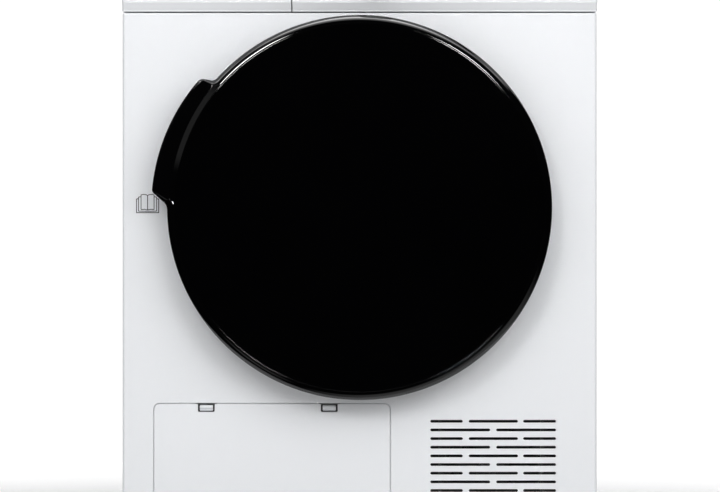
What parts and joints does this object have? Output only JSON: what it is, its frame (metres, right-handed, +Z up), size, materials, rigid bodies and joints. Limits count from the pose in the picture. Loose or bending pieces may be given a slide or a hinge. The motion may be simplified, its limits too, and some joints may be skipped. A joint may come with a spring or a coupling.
{
  "type": "heat pump tumble dryer",
  "caption": "Free-standing front-loading dryer: white cabinet, round gloss-black door with a flared grip, water drawer, service flap and slotted intake grille.",
  "frame": {"origin": "on the floor, in the middle of the width and of the whole depth with the closed door", "axes": "+X to the right seen from the front, +Y to the back, +Z up; the door faces -Y"},
  "size_m": [0.596, 0.648, 0.845],
  "materials": {
    "white_steel": "satin white enamel",
    "white_board": "white laminate",
    "white_plastic": "fine-grained white plastic",
    "galvanised": "zinc-coated sheet",
    "steel_drum": "brushed stainless steel",
    "black_gloss": "high-gloss black",
    "black_glass": "polished black door face",
    "grey_plastic": "moulded grey plastic",
    "light_plastic": "moulded light grey plastic",
    "black_plastic": "moulded black plastic",
    "tray_plastic": "glass-filled moulded plastic",
    "seal_rubber": "matte rubber",
    "felt": "pressed felt",
    "bare_steel": "bright steel",
    "cast_hinge": "zinc-plated casting",
    "bearing_brass": "sintered bronze",
    "motor_steel": "dark varnished steel",
    "compressor_black": "black enamel",
    "fin_aluminium": "thin aluminium fins",
    "copper_tube": "soldered copper tube",
    "board_green": "circuit board in a tray",
    "display_black": "dark display window",
    "filter_mesh": "fine polyester mesh in a plastic frame"
  },
  "bodies": {
    "cabinet": {"base_tray": "tray_plastic", "side_panel_left": "white_steel", "side_panel_right": "white_steel", "rear_wall": "galvanised", "worktop": "white_board", "front_panel": "white_steel", "control_fascia": "white_plastic", "control_board": "board_green", "display_window": "display_black", "front_bulkhead": "light_plastic", "door_seal": "seal_rubber", "drum_seals": "felt", "roller_axles": "bare_steel", "rear_duct_cover": "galvanised", "rear_bearing": "bearing_brass", "drive_motor": "motor_steel", "compressor": "compressor_black", "compressor_grommets": "seal_rubber", "evaporator": "fin_aluminium", "condenser": "fin_aluminium", "heat_exchanger_cover": "tray_plastic", "refrigerant_pipes": "copper_tube", "condensate_pump": "light_plastic", "condensate_hose": "seal_rubber", "tank_cradle": "grey_plastic", "door_hinge_bracket": "cast_hinge", "door_hinge_pins": "bare_steel", "door_latch_receiver": "black_plastic", "cooling_fan_shroud": "black_plastic", "mains_inlet": "black_plastic", "panel_screws": "bare_steel", "drive_belt": "seal_rubber", "tensioner_bracket": "bare_steel", "rear_feet": "black_plastic"},
    "door": {"door_outer_trim": "black_gloss", "door_front_disc": "black_glass", "door_inner_frame": "grey_plastic", "door_inner_panel": "light_plastic", "door_latch_hook": "bare_steel", "door_hinge_leaf": "cast_hinge"},
    "drum": {"drum_shell": "steel_drum", "drum_lifters": "light_plastic", "drum_axle": "bare_steel"},
    "roller_left": {"front_roller_left": "black_plastic"},
    "roller_right": {"front_roller_right": "black_plastic"},
    "motor_rotor": {"motor_shaft": "bare_steel", "process_fan_wheel": "black_plastic"},
    "belt_idler": {"tensioner_pulley": "bare_steel"},
    "cooling_fan": {"cooling_fan_rotor": "black_plastic"},
    "tank_drawer": {"water_tank": "light_plastic", "tank_drawer_front": "white_plastic"},
    "flap": {"service_flap": "white_plastic"},
    "latch_left": {"flap_latch_left": "white_plastic"},
    "latch_right": {"flap_latch_right": "white_plastic"},
    "lint_screen": {"lint_filter": "filter_mesh"},
    "evaporator_screen": {"evaporator_filter": "filter_mesh"},
    "knob": {"programme_knob": "light_plastic"},
    "power_key": {"power_button": "light_plastic"},
    "foot_left": {"foot_front_left": "black_plastic"},
    "foot_right": {"foot_front_right": "black_plastic"}
  },
  "joints": [
    {"name": "door_hinge", "type": "hinge", "parent": "cabinet", "child": "door", "pos_m": [0.231, -0.3, 0.474], "axis": [0, 0, 1], "range_deg": [0, 135]},
    {"name": "drum_spin", "type": "hinge", "parent": "cabinet", "child": "drum", "pos_m": [0, 0.28, 0.474], "axis": [0, 1, 0], "continuous": true},
    {"name": "roller_left_spin", "type": "hinge", "parent": "cabinet", "child": "roller_left", "pos_m": [-0.18796, -0.203, 0.23342], "axis": [0, 1, 0], "continuous": true},
    {"name": "roller_right_spin", "type": "hinge", "parent": "cabinet", "child": "roller_right", "pos_m": [0.18796, -0.203, 0.23342], "axis": [0, 1, 0], "continuous": true},
    {"name": "motor_spin", "type": "hinge", "parent": "cabinet", "child": "motor_rotor", "pos_m": [0.165, 0.21, 0.11], "axis": [0, 1, 0], "continuous": true},
    {"name": "idler_spin", "type": "hinge", "parent": "cabinet", "child": "belt_idler", "pos_m": [0.09918, 0.132, 0.10841], "axis": [0, 1, 0], "continuous": true},
    {"name": "cooling_fan_spin", "type": "hinge", "parent": "cabinet", "child": "cooling_fan", "pos_m": [0.168, -0.24, 0.138], "axis": [0, 1, 0], "continuous": true},
    {"name": "tank_drawer_slide", "type": "slide", "parent": "cabinet", "child": "tank_drawer", "axis": [0, -1, 0], "range_m": [0, 0.45]},
    {"name": "flap_hinge", "type": "hinge", "parent": "cabinet", "child": "flap", "pos_m": [-0.11, -0.271, 0.0475], "axis": [1, 0, 0], "range_deg": [0, 92]},
    {"name": "flap_latch_left_press", "type": "slide", "parent": "flap", "child": "latch_left", "axis": [0, 0, -1], "range_m": [0, 0.0025], "stiffness_N_per_m": 400},
    {"name": "flap_latch_right_press", "type": "slide", "parent": "flap", "child": "latch_right", "axis": [0, 0, -1], "range_m": [0, 0.0025], "stiffness_N_per_m": 400},
    {"name": "lint_filter_lift", "type": "slide", "parent": "cabinet", "child": "lint_screen", "axis": [0, 0, 1], "range_m": [0, 0.004]},
    {"name": "evaporator_filter_pull", "type": "slide", "parent": "cabinet", "child": "evaporator_screen", "axis": [0, -1, 0], "range_m": [0, 0.012]},
    {"name": "programme_knob_turn", "type": "hinge", "parent": "cabinet", "child": "knob", "pos_m": [0.025, -0.29, 0.768], "axis": [0, 1, 0], "continuous": true},
    {"name": "power_button_press", "type": "slide", "parent": "cabinet", "child": "power_key", "axis": [0, 1, 0], "range_m": [0, 0.002], "stiffness_N_per_m": 500},
    {"name": "foot_left_turn", "type": "hinge", "parent": "cabinet", "child": "foot_left", "pos_m": [-0.25, -0.226, 0.03], "axis": [0, 0, 1], "continuous": true},
    {"name": "foot_right_turn", "type": "hinge", "parent": "cabinet", "child": "foot_right", "pos_m": [0.25, -0.226, 0.03], "axis": [0, 0, 1], "continuous": true}
  ],
  "couplings": [
    {"joint": "roller_left_spin", "follows": "drum_spin", "ratio": -11.2},
    {"joint": "roller_right_spin", "follows": "drum_spin", "ratio": -11.2},
    {"joint": "motor_spin", "follows": "drum_spin", "ratio": 31.111},
    {"joint": "idler_spin", "follows": "drum_spin", "ratio": -18.667}
  ]
}
